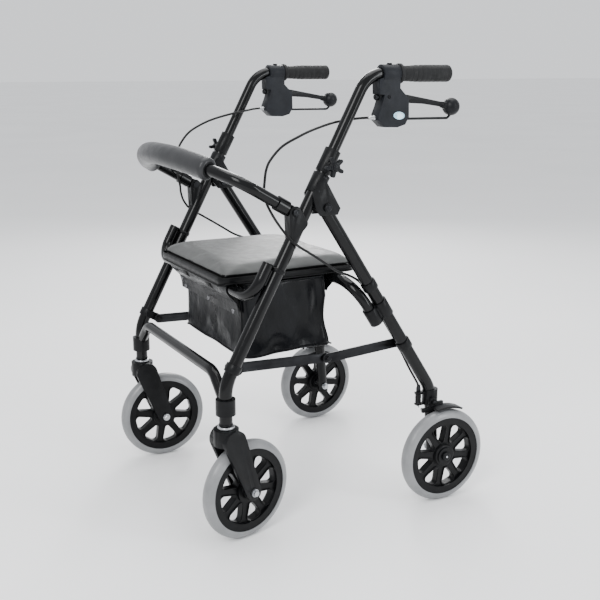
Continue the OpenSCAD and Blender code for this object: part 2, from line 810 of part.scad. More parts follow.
board_t = 10;
clip_xs = [-62, 62];
clip_r = 15;
clip_w = 24;
seat_corner = 34;
module seat_board() {
  color("#1d1d1f") translate([0, stem_y, 0]) difference() {
    union() {
      translate([0, seat_front_y + seat_d / 2, seat_z])
        rounded_plate(seat_w - 8, seat_d - 8, seat_corner - 4, board_t);
      for (x = clip_xs) translate([x - clip_w / 2, seat_pivot.x, seat_pivot.y]) {
        rotate([0, 90, 0]) cylinder(r = clip_r, h = clip_w);
        translate([0, -clip_r, 0]) cube([clip_w, 2 * clip_r, seat_z - seat_pivot.y + 1]);
      }
    }
    cross_pin(-leg_x, seat_pivot, bar_r + slide_gap, 2 * leg_x);
  }
}
module seat_cushion() {
  color("#3e3f41") translate([0, stem_y + seat_front_y + seat_d / 2, seat_z + board_t]) {
    rounded_plate(seat_w, seat_d, seat_corner, cushion_h - 6);
    translate([0, 0, cushion_h - 6]) rounded_plate(seat_w - 24, seat_d - 24, seat_corner - 6, 6);
  }
}

bag_floor_z = 346;
bag_top_z = 488;
bag_front_y = 74;
bag_wall = 3;
module bag() {
  color("#18181a") translate([0, stem_y + bag_front_y + bag_d / 2, bag_floor_z]) difference() {
    rounded_plate(bag_w, bag_d, 20, bag_top_z - bag_floor_z);
    translate([0, 0, bag_wall])
      rounded_plate(bag_w - 2 * bag_wall, bag_d - 2 * bag_wall, 20 - bag_wall, 200);
  }
}

/* Assembly */

front_leg(1);  // left_front_leg
front_leg(-1);  // right_front_leg
front_crossbar();
seat_front_tube();
hinge_bracket(1);  // left_hinge_bracket
hinge_bracket(-1);  // right_hinge_bracket
hinge_bolts();
backrest_bracket(1);  // left_backrest_bracket
backrest_bracket(-1);  // right_backrest_bracket
backrest_bolts();
height_collar(1);  // left_height_collar
height_collar(-1);  // right_height_collar
star_knob(1);  // left_star_knob
star_knob(-1);  // right_star_knob
caster_collars();
caster_stem(1);  // left_caster_stem
caster_stem(-1);  // right_caster_stem
caster_fork(1);  // left_caster_fork
caster_fork(-1);  // right_caster_fork
front_axle(1);  // left_front_axle
front_axle(-1);  // right_front_axle
front_rim(1);  // left_front_rim
front_rim(-1);  // right_front_rim
front_tyre(1);  // left_front_tyre
front_tyre(-1);  // right_front_tyre
rear_leg(1);  // left_rear_leg
rear_leg(-1);  // right_rear_leg
rear_axles();
rear_rim(1);  // left_rear_rim
rear_rim(-1);  // right_rear_rim
rear_tyre(1);  // left_rear_tyre
rear_tyre(-1);  // right_rear_tyre
seat_rear_tube();
rear_seat_brackets();
stop_collars();
brake_brackets();
brake_springs();
brake_shoe(1);  // left_brake_shoe
brake_shoe(-1);  // right_brake_shoe
front_brace_lugs();
rear_brace_lugs();
front_braces();
rear_braces();
handle_tube(1);  // left_handle_tube
handle_tube(-1);  // right_handle_tube
grip(1);  // left_grip
grip(-1);  // right_grip
brake_housing(1);  // left_brake_housing
brake_housing(-1);  // right_brake_housing
brake_lever(1);  // left_brake_lever
brake_lever(-1);  // right_brake_lever
lever_knob(1);  // left_lever_knob
lever_knob(-1);  // right_lever_knob
brake_cable(1);  // left_brake_cable
brake_cable(-1);  // right_brake_cable
backrest_bar();
backrest_foam();
seat_board();
seat_cushion();
bag();
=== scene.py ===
"""Looks of the rollator walker: studio, materials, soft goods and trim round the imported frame.

Lengths are metres. Places that belong to the mechanism are written in millimetres behind the
caster stems and go through at(), the way the part's own source writes them.
"""

import json
import math

import bmesh
import bpy
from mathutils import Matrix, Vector, noise


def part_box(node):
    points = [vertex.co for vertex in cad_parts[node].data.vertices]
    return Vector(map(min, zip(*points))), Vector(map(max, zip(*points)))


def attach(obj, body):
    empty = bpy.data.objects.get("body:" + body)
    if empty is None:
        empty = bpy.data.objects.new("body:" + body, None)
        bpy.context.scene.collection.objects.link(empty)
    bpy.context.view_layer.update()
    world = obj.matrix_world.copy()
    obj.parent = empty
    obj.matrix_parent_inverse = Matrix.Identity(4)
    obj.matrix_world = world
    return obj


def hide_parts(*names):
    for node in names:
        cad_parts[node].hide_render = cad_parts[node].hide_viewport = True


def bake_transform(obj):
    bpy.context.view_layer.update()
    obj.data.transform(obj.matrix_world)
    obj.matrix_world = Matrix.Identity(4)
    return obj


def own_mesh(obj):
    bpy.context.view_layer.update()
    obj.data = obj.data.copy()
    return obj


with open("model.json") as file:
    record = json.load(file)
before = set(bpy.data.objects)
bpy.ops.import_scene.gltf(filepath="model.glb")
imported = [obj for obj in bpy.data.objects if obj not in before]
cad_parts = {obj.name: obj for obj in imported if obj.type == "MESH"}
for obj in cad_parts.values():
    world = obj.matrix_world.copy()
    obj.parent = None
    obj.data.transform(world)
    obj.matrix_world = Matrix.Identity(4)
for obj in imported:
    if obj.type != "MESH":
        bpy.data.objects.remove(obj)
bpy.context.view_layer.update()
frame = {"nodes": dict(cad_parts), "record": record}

MM = 0.001
SIDES = (("left", 1), ("right", -1))
BODY_OF = {n: body for body, nodes in frame["record"]["behaviour"]["bodies"].items() for n in nodes}
SLOT_OF = {s["node"]: s["material_slot"] for s in frame["record"]["subparts"]}


def box_middle(node):
    low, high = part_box(node)
    return (low + high) / 2


STEM_Y = box_middle("left_caster_stem").y
LEG_X = 238
LEG_LEAN = 61.8
LEG_LOW_Z = 320


def at(x, y, z):
    """A point given in millimetres: across, behind the caster stems, and above the floor."""
    return Vector((x * MM, STEM_Y + y * MM, z * MM))


LEG_RUN = Vector((math.cos(math.radians(LEG_LEAN)), math.sin(math.radians(LEG_LEAN))))
LEG_WAY = Vector((0, LEG_RUN.x, LEG_RUN.y))


def on_leg(x, along):
    """A point beside a front leg's axis, this far up its straight run."""
    return at(x, LEG_RUN.x * along, LEG_LOW_Z + LEG_RUN.y * along)


# ---------------------------------------------------------------- camera, floor and lights

CAMERA_PLACE = (1.7656, -0.9295, 0.8963)
CAMERA_YAW = 61.6
CAMERA_DIP = 13.9
CAMERA_LENS = 56.4
FLOOR_SIZE = 120.0


def add_camera():
    data = bpy.data.cameras.new("camera")
    data.lens = CAMERA_LENS
    data.sensor_width = 36
    camera = bpy.data.objects.new("camera", data)
    camera.location = CAMERA_PLACE
    camera.rotation_euler = (math.radians(90 - CAMERA_DIP), 0, math.radians(CAMERA_YAW))
    bpy.context.scene.collection.objects.link(camera)
    bpy.context.scene.camera = camera


def add_softbox(name, place, aim, size, power, colour=(1, 1, 1)):
    data = bpy.data.lights.new(name, "AREA")
    data.shape = "RECTANGLE"
    data.size, data.size_y = size
    data.energy = power
    data.color = colour
    light = bpy.data.objects.new(name, data)
    light.location = place
    direction = Vector(aim) - Vector(place)
    light.rotation_euler = direction.to_track_quat("-Z", "Y").to_euler()
    bpy.context.scene.collection.objects.link(light)


def add_studio():
    half = FLOOR_SIZE / 2
    data = bpy.data.meshes.new("floor")
    data.from_pydata([(-half, -half, 0), (half, -half, 0), (half, half, 0), (-half, half, 0)],
                     [], [(0, 1, 2, 3)])
    floor = bpy.data.objects.new("floor", data)
    bpy.context.scene.collection.objects.link(floor)
    paint = Surface("studio_floor", roughness=0.85)
    tone = paint.noise(0.8, detail=2)
    paint.colours(tone, (0.86, 0.86, 0.86), (0.9, 0.9, 0.9))
    data.materials.append(paint.material)
    world = bpy.data.worlds.new("studio")
    world.use_nodes = True
    sky = world.node_tree.nodes["Background"]
    sky.inputs["Color"].default_value = (0.95, 0.97, 1.0, 1)
    sky.inputs["Strength"].default_value = 1.15
    bpy.context.scene.world = world
    target = (0, 0, 0.45)
    add_softbox("key", (1.9, -2.4, 2.6), target, (1.4, 2.0), 95)
    add_softbox("overhead", (-0.2, 0.3, 3.0), target, (2.2, 2.2), 70)
    add_softbox("side", (2.6, 1.6, 1.3), target, (0.5, 2.2), 38, (0.95, 0.98, 1.0))
    add_softbox("back", (-2.4, 1.4, 1.9), target, (0.6, 2.0), 45)


# ---------------------------------------------------------------- materials


class Surface:
    """A node material, built up one feature at a time. Textures are placed in metres."""

    def __init__(self, name, roughness, metallic=0.0, coat=0.0, sheen=0.0, specular=0.5):
        self.material = bpy.data.materials.new(name)
        self.material.use_nodes = True
        self.tree = self.material.node_tree
        self.shader = self.tree.nodes["Principled BSDF"]
        self.shader.inputs["Roughness"].default_value = roughness
        self.shader.inputs["Metallic"].default_value = metallic
        self.shader.inputs["Coat Weight"].default_value = coat
        self.shader.inputs["Coat Roughness"].default_value = 0.06
        self.shader.inputs["Sheen Weight"].default_value = sheen
        self.shader.inputs["Specular IOR Level"].default_value = specular
        self.normal = None

    def node(self, kind):
        return self.tree.nodes.new("ShaderNode" + kind)

    def link(self, out, into):
        self.tree.links.new(out, into)

    def place(self, stretch):
        coords = self.node("TexCoord")
        mapping = self.node("Mapping")
        mapping.inputs["Scale"].default_value = stretch
        self.link(coords.outputs["Object"], mapping.inputs["Vector"])
        return mapping.outputs["Vector"]

    def noise(self, scale, detail=4.0, stretch=(1, 1, 1), rough=0.55):
        texture = self.node("TexNoise")
        texture.inputs["Scale"].default_value = scale
        texture.inputs["Detail"].default_value = detail
        texture.inputs["Roughness"].default_value = rough
        self.link(self.place(stretch), texture.inputs["Vector"])
        return texture.outputs["Fac"]

    def cells(self, scale, stretch=(1, 1, 1)):
        texture = self.node("TexVoronoi")
        texture.feature = "DISTANCE_TO_EDGE"
        texture.inputs["Scale"].default_value = scale
        self.link(self.place(stretch), texture.inputs["Vector"])
        return texture.outputs["Distance"]

    def colours(self, fac, dark, light, low=0.3, high=0.7):
        ramp = self.node("ValToRGB")
        ramp.color_ramp.elements[0].position = low
        ramp.color_ramp.elements[0].color = (*dark, 1)
        ramp.color_ramp.elements[1].position = high
        ramp.color_ramp.elements[1].color = (*light, 1)
        self.link(fac, ramp.inputs["Fac"])
        self.link(ramp.outputs["Color"], self.shader.inputs["Base Color"])

    def gloss(self, fac, low, high):
        spread = self.node("MapRange")
        spread.inputs["From Min"].default_value = 0.3
        spread.inputs["From Max"].default_value = 0.7
        spread.inputs["To Min"].default_value = low
        spread.inputs["To Max"].default_value = high
        self.link(fac, spread.inputs["Value"])
        self.link(spread.outputs["Result"], self.shader.inputs["Roughness"])

    def bump(self, fac, strength, depth):
        relief = self.node("Bump")
        relief.inputs["Strength"].default_value = strength
        relief.inputs["Distance"].default_value = depth
        self.link(fac, relief.inputs["Height"])
        if self.normal is not None:
            self.link(self.normal, relief.inputs["Normal"])
        self.normal = relief.outputs["Normal"]
        self.link(self.normal, self.shader.inputs["Normal"])


def grey(value, blue=1.0):
    return (value, value * (1 + 0.3 * (blue - 1)), value * blue)


def gloss_paint():
    s = Surface("black_powder_coat", 0.12, coat=0.1, specular=0.15)
    s.colours(s.noise(22, detail=6), grey(0.0015, 1.15), grey(0.004, 1.15))
    s.gloss(s.noise(60, detail=5), 0.1, 0.2)
    s.bump(s.noise(900, detail=2), 0.10, 0.0004)
    return s.material


def moulded(name, dark, light, low, high, grain=1500.0, coat=0.0):
    s = Surface(name, low, coat=coat, specular=0.13)
    s.colours(s.noise(35, detail=6), dark, light)
    s.gloss(s.noise(120, detail=4), low, high)
    s.bump(s.noise(grain, detail=2), 0.22, 0.0003)
    s.bump(s.noise(90, detail=3), 0.05, 0.0008)
    return s.material


def steel(name, dark, light, low, high, stretch):
    s = Surface(name, low, metallic=1.0)
    s.colours(s.noise(14, detail=7), dark, light)
    s.gloss(s.noise(70, detail=6, stretch=stretch), low, high)
    s.bump(s.noise(260, detail=5, stretch=stretch), 0.12, 0.0003)
    return s.material


def tyre_rubber():
    s = Surface("grey_tyre", 0.36, coat=0.25, specular=0.45)
    s.colours(s.noise(26, detail=8), (0.15, 0.153, 0.157), (0.2, 0.204, 0.208))
    s.gloss(s.noise(75, detail=6), 0.28, 0.46)
    s.bump(s.noise(700, detail=3), 0.2, 0.0004)
    s.bump(s.noise(60, detail=4), 0.08, 0.001)
    return s.material


# The seat vinyl as lit on top; the pad's sides, skirt and welt take a much darker copy of it, which
# is painted shade.
def seat_vinyl():
    s = Surface("seat_vinyl", 0.42, sheen=0.03, specular=0.2)
    s.colours(s.noise(9, detail=7), (0.062, 0.064, 0.063), (0.078, 0.08, 0.078))
    s.gloss(s.noise(60, detail=6), 0.38, 0.52)
    s.bump(s.cells(420), 0.35, 0.0003)
    s.bump(s.noise(1400, detail=3), 0.25, 0.0002)
    s.bump(s.noise(28, detail=3), 0.12, 0.002)
    return s.material


# The same vinyl painted much darker for the pad's sides, skirt and welt: painted shade where the
# seat turns away from the light.
def seat_vinyl_painted_shade():
    s = Surface("seat_vinyl_painted_shade", 0.36, specular=0.1)
    s.colours(s.noise(12, detail=6), grey(0.003, 1.1), grey(0.007, 1.1))
    s.gloss(s.noise(60, detail=6), 0.28, 0.45)
    s.bump(s.cells(420), 0.3, 0.0003)
    return s.material


def bag_vinyl():
    s = Surface("bag_vinyl", 0.27, coat=0.05, specular=0.12)
    s.colours(s.noise(12, detail=8), grey(0.001, 1.5), grey(0.004, 1.5))
    s.gloss(s.noise(30, detail=6), 0.24, 0.44)
    s.bump(s.noise(17, detail=6, stretch=(1, 1, 0.5), rough=0.6), 0.55, 0.006)
    s.bump(s.noise(70, detail=5, rough=0.6), 0.3, 0.002)
    s.bump(s.cells(700), 0.15, 0.0002)
    return s.material


def foam_skin():
    s = Surface("foam_skin", 0.36, sheen=0.01, coat=0.03, specular=0.25)
    s.colours(s.noise(18, detail=7), (0.016, 0.0165, 0.018), (0.028, 0.0285, 0.03))
    s.gloss(s.noise(45, detail=6), 0.3, 0.46)
    s.bump(s.noise(850, detail=4), 0.3, 0.0004)
    s.bump(s.noise(24, detail=3), 0.12, 0.002)
    return s.material


def grip_rubber():
    s = Surface("grip_rubber", 0.55, sheen=0.015, specular=0.22)
    s.colours(s.noise(40, detail=6), grey(0.003, 1.1), grey(0.008, 1.1))
    s.gloss(s.noise(90, detail=5), 0.45, 0.7)
    s.bump(s.noise(1100, detail=3), 0.35, 0.0004)
    return s.material


def cable_sheath():
    s = Surface("cable_sheath", 0.38, specular=0.2)
    s.colours(s.noise(120, detail=5), grey(0.002, 1.1), grey(0.006, 1.1))
    s.gloss(s.noise(200, detail=4), 0.3, 0.5)
    s.bump(s.noise(1600, detail=2), 0.15, 0.0002)
    return s.material


def badge_enamel():
    s = Surface("badge_enamel", 0.2, coat=0.8)
    s.colours(s.noise(160, detail=3), (0.28, 0.52, 0.66), (0.42, 0.64, 0.74))
    s.bump(s.noise(900, detail=2), 0.08, 0.0002)
    return s.material


PAINT = gloss_paint()
FITTING = moulded("black_fitting", grey(0.002, 1.2), grey(0.005, 1.2), 0.3, 0.46, coat=0.03)
HOUSING = moulded("housing_plastic", grey(0.008, 1.35), grey(0.014, 1.35), 0.36, 0.52)
LEVER = moulded("lever_plastic", grey(0.003, 1.25), grey(0.007, 1.25), 0.3, 0.44, coat=0.03)
KNOB = moulded("knob_plastic", grey(0.004, 1.3), grey(0.009, 1.3), 0.32, 0.48, coat=0.03)
RIM = moulded("rim_plastic", grey(0.0015, 1.2), grey(0.004, 1.2), 0.3, 0.46, coat=0.03)
BOARD = moulded("board_plastic", grey(0.004), grey(0.009), 0.5, 0.65)
STEEL = steel("zinc_steel", (0.36, 0.37, 0.39), (0.58, 0.59, 0.6), 0.2, 0.42, (1, 1, 8))
DARK_STEEL = steel("black_steel", (0.012, 0.012, 0.013), (0.03, 0.031, 0.033), 0.3, 0.5, (8, 1, 1))
# The snaps are black; this lighter metal is a painted highlight, so that they read as glints
# against the dark bag.
SNAP_GLINT_STEEL = steel("snap_steel_painted_glint", (0.1, 0.1, 0.105), (0.2, 0.2, 0.21), 0.15, 0.3, (1, 1, 1))
TYRE = tyre_rubber()
SEAT = seat_vinyl()
SEAT_PAINTED_SHADE = seat_vinyl_painted_shade()
BAG = bag_vinyl()
FOAM = foam_skin()
GRIP = grip_rubber()
SHEATH = cable_sheath()
ENAMEL = badge_enamel()

MATERIAL_OF_SLOT = {
    "black_tube": PAINT, "black_fitting": FITTING, "dark_bolt": DARK_STEEL,
    "bright_steel": STEEL, "rim_plastic": RIM, "grey_tyre": TYRE, "grip_rubber": GRIP,
    "housing_plastic": HOUSING, "lever_plastic": LEVER, "knob_plastic": KNOB,
    "cable_sheath": SHEATH, "foam": FOAM, "seat_vinyl": SEAT, "board_plastic": BOARD,
    "bag_vinyl": BAG,
}


def paint_frame():
    for name, obj in frame["nodes"].items():
        obj.material_slots[0].material = MATERIAL_OF_SLOT[SLOT_OF[name]]


# ---------------------------------------------------------------- mesh helpers


def add_piece(name, mesh, body, material, smooth=True):
    """Links a piece made of (vertices, faces), and lets it ride on a body of the frame."""
    data = bpy.data.meshes.new(name)
    data.from_pydata([tuple(v) for v in mesh[0]], [], mesh[1])
    data.validate()
    turn_outwards(data)
    data.materials.append(material)
    if smooth:
        data.shade_smooth()
    obj = bpy.data.objects.new(name, data)
    bpy.context.scene.collection.objects.link(obj)
    if body:
        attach(obj, body)
    return obj


def turn_outwards(data):
    work = bmesh.new()
    work.from_mesh(data)
    bmesh.ops.recalc_face_normals(work, faces=work.faces)
    work.to_mesh(data)
    work.free()


def joined(meshes):
    """Several (vertices, faces) as one."""
    verts, faces = [], []
    for part_verts, part_faces in meshes:
        start = len(verts)
        verts += list(part_verts)
        faces += [tuple(i + start for i in face) for face in part_faces]
    return verts, faces


def loft(rings, capped=True):
    """Faces between closed rings of equal length, with flat caps."""
    count = len(rings[0])
    verts = [v for ring in rings for v in ring]
    faces = []
    for i in range(len(rings) - 1):
        for k in range(count):
            a, b = i * count + k, i * count + (k + 1) % count
            faces.append((a, b, b + count, a + count))
    if capped:
        faces.append(tuple(range(count)))
        faces.append(tuple((len(rings) - 1) * count + k for k in reversed(range(count))))
    return verts, faces


def smooth_path(points, steps):
    """A Catmull-Rom curve through the points."""
    ends = [points[0] * 2 - points[1], *points, points[-1] * 2 - points[-2]]
    path = []
    for i in range(1, len(ends) - 2):
        a, b, c, d = ends[i - 1:i + 3]
        for k in range(steps):
            t = k / steps
            path.append(0.5 * (2 * b + (c - a) * t + (2 * a - 5 * b + 4 * c - d) * t * t
                               + (3 * b - a - 3 * c + d) * t ** 3))
    return path + [points[-1]]


def sweep(path, radius, sides=16, closed=False):
    """A round tube along a path; radius is a length, or a function of the share of the way."""
    last = len(path) - 1
    size = radius if callable(radius) else lambda share: radius
    tangents = []
    for i in range(last + 1):
        ahead = path[(i + 1) % (last + 1)] if closed else path[min(i + 1, last)]
        behind = path[i - 1] if closed else path[max(i - 1, 0)]
        tangents.append((ahead - behind).normalized())
    side = tangents[0].orthogonal().normalized()
    rings = []
    for i, point in enumerate(path):
        side = (side - tangents[i] * side.dot(tangents[i])).normalized()
        other = tangents[i].cross(side)
        r = size(i / last)
        rings.append([point + r * (math.cos(a) * side + math.sin(a) * other)
                      for a in (2 * math.pi * k / sides for k in range(sides))])
    if closed:
        return loft(rings + [rings[0]], capped=False)
    return loft(rings)


def lathe(profile, origin, axis, sides=32):
    """Turns (along, radius) points, in millimetres, about an axis through a point."""
    axis = Vector(axis).normalized()
    side = axis.orthogonal().normalized()
    other = axis.cross(side)
    rings = []
    for along, r in profile:
        rings.append([origin + axis * along * MM
                      + r * MM * (math.cos(a) * side + math.sin(a) * other)
                      for a in (2 * math.pi * k / sides for k in range(sides))])
    return loft(rings)


def round_edges(obj, width, segments=2, angle=32):
    """Bevels the sharp edges of a mesh and applies it."""
    bevel = obj.modifiers.new("bevel", "BEVEL")
    bevel.width = width
    bevel.segments = segments
    bevel.limit_method = "ANGLE"
    bevel.angle_limit = math.radians(angle)
    bevel.harden_normals = True
    apply_modifiers(obj)


def apply_modifiers(obj):
    graph = bpy.context.evaluated_depsgraph_get()
    obj.data = bpy.data.meshes.new_from_object(obj.evaluated_get(graph))
    obj.modifiers.clear()


def soften(node, width, segments=2):
    """A copy of a CAD node with its edges rounded, which is shown in its place."""
    data = frame["nodes"][node].data.copy()
    work = bmesh.new()
    work.from_mesh(data)
    bmesh.ops.remove_doubles(work, verts=work.verts, dist=2e-6)
    bmesh.ops.dissolve_limit(work, angle_limit=math.radians(2), verts=work.verts,
                             edges=work.edges)
    work.to_mesh(data)
    work.free()
    data.shade_smooth()
    obj = bpy.data.objects.new(node + ".rounded", data)
    bpy.context.scene.collection.objects.link(obj)
    round_edges(obj, width, segments)
    obj.data.materials.clear()
    obj.data.materials.append(MATERIAL_OF_SLOT[SLOT_OF[node]])
    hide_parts(node)
    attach(obj, BODY_OF[node])


# ---------------------------------------------------------------- seat

SEAT_CORNER = 0.021
SKIRT_DEPTH = 0.0105
SKIRT_LIP = 0.0045
SKIRT_FRONT = 0.014
SKIRT_WALL = 0.002
PAD_INSET = 0.0006
PAD_CROWN = 0.0035
# Share of the pad's height below which its side faces take the painted-shade copy of the vinyl.
PAD_SHADE_RISE = 0.28
WELT_R = 0.0015
CUSHION_CAP = 0.006
VOXEL = 0.005


def rounded_rectangle(low, high, corner, steps=8):
    """Points round a rectangle in X and Y with rounded corners, anticlockwise."""
    points = []
    for k, (sx, sy) in enumerate(((1, 1), (-1, 1), (-1, -1), (1, -1))):
        middle = Vector(((high.x - corner) if sx > 0 else (low.x + corner),
                         (high.y - corner) if sy > 0 else (low.y + corner)))
        for i in range(steps + 1):
            a = math.radians(90 * (k + i / steps))
            points.append(middle + corner * Vector((math.cos(a), math.sin(a))))
    return points


def cushion_form(low, high, inset):
    """Closed, crowned pad: flat below, with a rolled edge and a low dome on top."""
    height = high.z - low.z
    levels = [(0.0, 0.0), (0.0, 0.1), (0.0015, 0.24), (0.0045, 0.4), (0.009, 0.54), (0.016, 0.67),
              (0.026, 0.79), (0.042, 0.9), (0.065, 0.98), (0.1, 1.03), (0.13, 1.05)]
    rings = []
    for pull, rise in levels:
        edge = pull + inset
        corner = SEAT_CORNER + pull * 0.5
        ring = rounded_rectangle(low + Vector((edge, edge, 0)), high - Vector((edge, edge, 0)),
                                 corner)
        rings.append([Vector((p.x, p.y, low.z + height * rise)) for p in ring])
    return loft(rings)


def inflate(obj, cap, pressure=4.0, frames=20):
    """Remeshes a pad, swells it as cloth, and limits how far each point has moved."""
    remesh = obj.modifiers.new("remesh", "REMESH")
    remesh.mode = "VOXEL"
    remesh.voxel_size = VOXEL
    apply_modifiers(obj)
    before = [v.co.copy() for v in obj.data.vertices]
    cloth = obj.modifiers.new("cloth", "CLOTH")
    cloth.settings.use_pressure = True
    cloth.settings.uniform_pressure_force = pressure
    cloth.settings.effector_weights.gravity = 0
    cloth.settings.quality = 5
    scene = bpy.context.scene
    for number in range(1, frames + 1):
        scene.frame_set(number)
    apply_modifiers(obj)
    scene.frame_set(1)
    for vertex, start in zip(obj.data.vertices, before):
        shift = vertex.co - start
        if shift.length > cap:
            vertex.co = start + shift * (cap / shift.length)


def clamp_to(obj, low, high):
    for vertex in obj.data.vertices:
        for i in range(3):
            vertex.co[i] = min(max(vertex.co[i], low[i]), high[i])


def seat_ring(low, high, pull, level, drop=0.0):
    """A ring round the seat that hangs lower by drop along its front edge."""
    ring = []
    for p in rounded_rectangle(low + Vector((pull, pull, 0)), high - Vector((pull, pull, 0)),
                               SEAT_CORNER):
        front = min(1.0, max(0.0, 1 - (p.y - low.y) / SKIRT_FRONT))
        ring.append(Vector((p.x, p.y, level - drop * front * front * (3 - 2 * front))))
    return ring


def add_cushion():
    low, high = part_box("seat_cushion")
    cushion = add_piece("seat_pad", cushion_form(low, high, PAD_INSET), None, SEAT)
    inflate(cushion, CUSHION_CAP)
    clamp_to(cushion, low, high + Vector((0, 0, PAD_CROWN)))
    divide = cushion.modifiers.new("divide", "SUBSURF")
    divide.levels = divide.render_levels = 1
    apply_modifiers(cushion)
    cushion.data.materials.append(SEAT_PAINTED_SHADE)
    # Side faces below this height get the darker copy: painted shade on the pad's sides.
    shade_top = low.z + PAD_SHADE_RISE * (high.z - low.z)
    for face in cushion.data.polygons:
        face.use_smooth = True
        if face.normal.z < 0.5 and face.center.z < shade_top:
            face.material_index = 1
    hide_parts("seat_cushion")
    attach(cushion, "seat")
    bottom = low.z - SKIRT_DEPTH
    section = [(PAD_INSET, low.z + 0.001, 0), (0.0, low.z - 0.003, 0), (0.0, bottom, SKIRT_LIP),
               (SKIRT_WALL, bottom, SKIRT_LIP), (SKIRT_WALL, low.z - 0.0003, 0)]
    skirt = loft([seat_ring(low, high, *level) for level in section], capped=False)
    # The skirt and the welt are in the painted-shade copy of the vinyl too.
    add_piece("seat_skirt", skirt, "seat", SEAT_PAINTED_SHADE)
    welt = seat_ring(low, high, PAD_INSET, bottom, SKIRT_LIP)
    add_piece("seat_welt", sweep(welt, WELT_R, sides=8, closed=True), "seat",
              SEAT_PAINTED_SHADE)


# ---------------------------------------------------------------- backrest

ARM_RISE = math.radians(30)
BACK_PIVOT = (141.5, 636.9)
BACK_X = 241.0
BOW_TURN = math.radians(28)
ARM_CORNER = 54.0
BOW_GAP = 2.0
ARM_REACH = 188.0
BOW_R = (BACK_X / math.cos(BOW_TURN) - ARM_CORNER * math.tan((math.pi / 2 - BOW_TURN) / 2)
         - BOW_GAP) / math.tan(BOW_TURN)
FOAM_LEFT = 173
FOAM_RIGHT = 263
FOAM_R = 21.8
FOAM_END = 9.0


def on_bow(length):
    """The point of the backrest bar this far, in millimetres, to the left of its middle."""
    side = 1 if length > 0 else -1
    run = abs(length)
    bow_run = BOW_R * BOW_TURN
    if run <= bow_run:
        turn = run / BOW_R
        x, out = BOW_R * math.sin(turn), ARM_REACH - BOW_R + BOW_R * math.cos(turn)
    else:
        x = BOW_R * math.sin(BOW_TURN)
        out = ARM_REACH - BOW_R + BOW_R * math.cos(BOW_TURN)
        straight = min(run - bow_run, BOW_GAP)
        x += straight * math.cos(BOW_TURN)
        out -= straight * math.sin(BOW_TURN)
        turn = BOW_TURN + (run - bow_run - straight) / ARM_CORNER
        x += ARM_CORNER * (math.sin(turn) - math.sin(BOW_TURN))
        out += ARM_CORNER * (math.cos(turn) - math.cos(BOW_TURN))
    return at(side * x, BACK_PIVOT[0] - out * math.cos(ARM_RISE),
              BACK_PIVOT[1] + out * math.sin(ARM_RISE))


def foam_radius(share):
    """Radius of the sleeve along its length: rounded ends and a faint unevenness."""
    length = (FOAM_LEFT + FOAM_RIGHT) * share
    edge = min(length, FOAM_LEFT + FOAM_RIGHT - length)
    drop = 0
    if edge < FOAM_END:
        drop = FOAM_END * (1 - math.sqrt(max(0, 1 - (1 - edge / FOAM_END) ** 2)))
    return (FOAM_R - drop + 0.25 * math.sin(length / 23.0)) * MM


def add_foam():
    steps = 150
    ends = [-FOAM_RIGHT + FOAM_END * (k / 10) ** 2 for k in range(10)]
    straight = FOAM_LEFT + FOAM_RIGHT - 2 * FOAM_END
    run = [-FOAM_RIGHT + FOAM_END + straight * k / steps for k in range(steps + 1)]
    tail = [FOAM_LEFT - FOAM_END * (k / 10) ** 2 for k in reversed(range(10))]
    lengths = ends + run + tail
    total = FOAM_LEFT + FOAM_RIGHT
    path = [on_bow(length) for length in lengths]
    shares = {i: (length + FOAM_RIGHT) / total for i, length in enumerate(lengths)}
    last = len(lengths) - 1
    foam = add_piece("backrest_sleeve",
                     sweep(path, lambda s: foam_radius(shares[round(s * last)]), sides=40),
                     "backrest", FOAM)
    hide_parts("backrest_foam")
    for length in (-FOAM_RIGHT, FOAM_LEFT):
        inner = -1 if length > 0 else 1
        a, b = on_bow(length), on_bow(length + inner)
        add_piece("sleeve_end" + (".left" if length > 0 else ".right"),
                  lathe([(-0.6, 11.4), (-0.6, 14.5), (1.2, 16.0), (1.2, 11.4)], a, b - a, 36),
                  "backrest", FITTING)


# ---------------------------------------------------------------- bag

BAG_FRONT = 75
BAG_REAR = 281
BAG_HALF = 153
BAG_FLOOR = 341
BAG_TOP = 488
BAG_WALL = 1.8
BAG_RUNS = (34, 24, 34, 24)
CORNER_STEPS = 10
BAG_SEAMS = (("rear_left", 4), ("rear_right", 48), ("front_right", 82), ("front_left", 124))
SNAPS = ((-126, 70.2, 430, 0.08), (0, 70.2, 430, 0.08), (124, 70.2, 430, 0.08),
         (-138, 66.8, 446, -0.3))
FRONT_TUBE = (57.4, 480)
REAR_TUBE = (279.5, 483)
FLAP_R = 12.6


def bag_outline(share, inset):
    """One level of the bag, from its floor (0) to its hem (1), as points round it."""
    corner = 22 - 8 * share
    front = BAG_FRONT + inset + 4 * math.sin(math.pi * share)
    rear = (BAG_REAR - inset - 8 * math.sin(math.pi * share) ** 1.5
            - 17 * max(0, share - 0.7) / 0.3)
    half = BAG_HALF - inset
    height = BAG_FLOOR + (BAG_TOP - BAG_FLOOR) * share
    points = []
    for k, run in enumerate(BAG_RUNS):
        sx = 1 if k in (0, 3) else -1
        sy = 1 if k in (0, 1) else -1
        cx = sx * (half - corner)
        cy = (rear - corner) if sy > 0 else (front + corner)
        for i in range(CORNER_STEPS + 1):
            a = math.radians(90 * (k + i / CORNER_STEPS))
            points.append((cx + corner * math.cos(a), cy + corner * math.sin(a)))
        start, stop = points[-1], bag_corner(k + 1, half, front, rear, corner)
        for i in range(1, run):
            t = i / run
            points.append((start[0] + (stop[0] - start[0]) * t,
                           start[1] + (stop[1] - start[1]) * t))
    return [bag_point(x, y, height, share, half, front, rear) for x, y in points]


def bag_corner(k, half, front, rear, corner):
    """Where the next rounded corner of the outline starts."""
    k %= 4
    sx = 1 if k in (0, 3) else -1
    sy = 1 if k in (0, 1) else -1
    cx = sx * (half - corner)
    cy = (rear - corner) if sy > 0 else (front + corner)
    a = math.radians(90 * k)
    return cx + corner * math.cos(a), cy + corner * math.sin(a)


